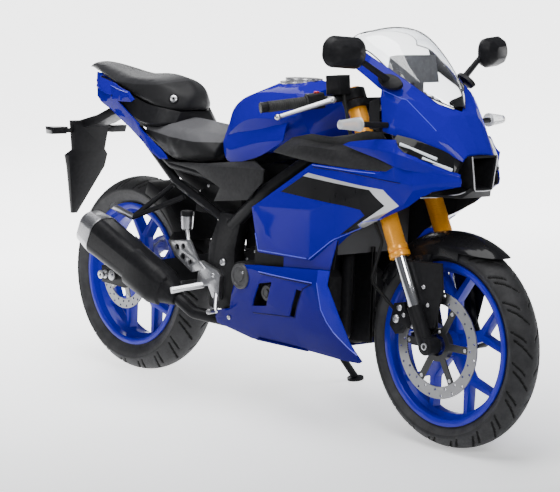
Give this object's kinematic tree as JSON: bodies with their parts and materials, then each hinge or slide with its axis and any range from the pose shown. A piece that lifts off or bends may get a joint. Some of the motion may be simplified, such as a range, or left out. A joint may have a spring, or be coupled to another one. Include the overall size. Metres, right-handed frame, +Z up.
{
  "type": "sport bike",
  "caption": "Faired sport motorcycle leaning on its side stand, with gold fork, Y-spoke wheels, hinged filler lid and turning bars.",
  "frame": {"origin": "on the road under the middle of the parked bike's box", "axes": "+X the way the bike travels, +Y towards the rider's left, +Z up from the road; the bike leans 9 degrees to the left on its stand"},
  "size_m": [2.072, 0.7342, 1.1668],
  "materials": {
    "blue_plastic": "deep metallic blue gloss",
    "blue_metal": "deep metallic blue gloss",
    "gloss_black": "black gloss",
    "black_plastic": "black satin, fine grain",
    "black_metal": "black satin paint",
    "engine_metal": "dark grey satin casting",
    "gold_metal": "gold anodised",
    "chrome": "hard chrome",
    "silver_metal": "satin silver",
    "steel": "brushed",
    "tyre": "road rubber",
    "rubber": "matt black",
    "seat_vinyl": "grained black vinyl",
    "red_lens": "red lens",
    "clear_lens": "clear lens",
    "screen": "clear polycarbonate"
  },
  "bodies": {
    "chassis": {"chain": "steel", "engine": "engine_metal", "exhaust_header": "steel", "filler_ring": "silver_metal", "footrests": "silver_metal", "fuel_tank": "blue_metal", "headlamps": "gloss_black", "instrument": "black_plastic", "intake_duct": "black_plastic", "lower_cowl": "blue_plastic", "main_frame": "black_metal", "mirrors": "black_plastic", "muffler": "black_metal", "muffler_cap": "steel", "paddock_spools": "silver_metal", "pillion_seat": "seat_vinyl", "radiator": "black_metal", "rear_axle": "steel", "rear_caliper": "black_metal", "rear_fender": "black_plastic", "rear_shock": "black_metal", "rider_seat": "seat_vinyl", "side_cowls": "blue_plastic", "side_panels": "black_plastic", "swingarm": "black_metal", "tail_cover": "black_plastic", "tail_cowl": "blue_plastic", "tail_lamp": "red_lens", "turn_signals": "clear_lens", "upper_cowl": "blue_plastic", "windscreen": "screen"},
    "fork": {"steering_stem": "steel", "fork_clamps": "black_metal", "fork_outer_tubes": "gold_metal", "fork_inner_tubes": "chrome", "fork_feet": "black_metal", "front_axle": "steel", "front_caliper": "black_metal", "front_fender": "gloss_black", "handlebars": "black_metal", "grips": "rubber", "bar_controls": "black_plastic", "brake_hose": "rubber"},
    "front_wheel": {"front_tyre": "tyre", "front_rim": "blue_metal", "front_disc": "steel"},
    "rear_wheel": {"rear_tyre": "tyre", "rear_rim": "blue_metal", "rear_disc": "steel", "rear_sprocket": "steel"},
    "side_stand": {"side_stand": "black_metal"},
    "fuel_cap": {"fuel_cap": "silver_metal"}
  },
  "joints": [
    {"name": "steering", "type": "hinge", "parent": "chassis", "child": "fork", "pos_m": [0.42832, -0.02342, 0.83404], "axis": [-0.4384, 0.1406, 0.8877], "range_deg": [-30, 30]},
    {"name": "front_wheel_spin", "type": "hinge", "parent": "fork", "child": "front_wheel", "pos_m": [0.744, -0.10968, 0.28941], "axis": [0, 0.9877, -0.1564], "continuous": true},
    {"name": "rear_wheel_spin", "type": "hinge", "parent": "chassis", "child": "rear_wheel", "pos_m": [-0.636, -0.1064, 0.31015], "axis": [0, 0.9877, -0.1564], "continuous": true},
    {"name": "stand_fold", "type": "hinge", "parent": "chassis", "child": "side_stand", "pos_m": [-0.036, 0.05312, 0.24337], "axis": [0.039, 0.9379, 0.3447], "range_deg": [0, 97]},
    {"name": "filler_lid", "type": "hinge", "parent": "chassis", "child": "fuel_cap", "pos_m": [0.152, -0.0019, 0.96992], "axis": [0, 0.9877, -0.1564], "range_deg": [0, 100]}
  ]
}
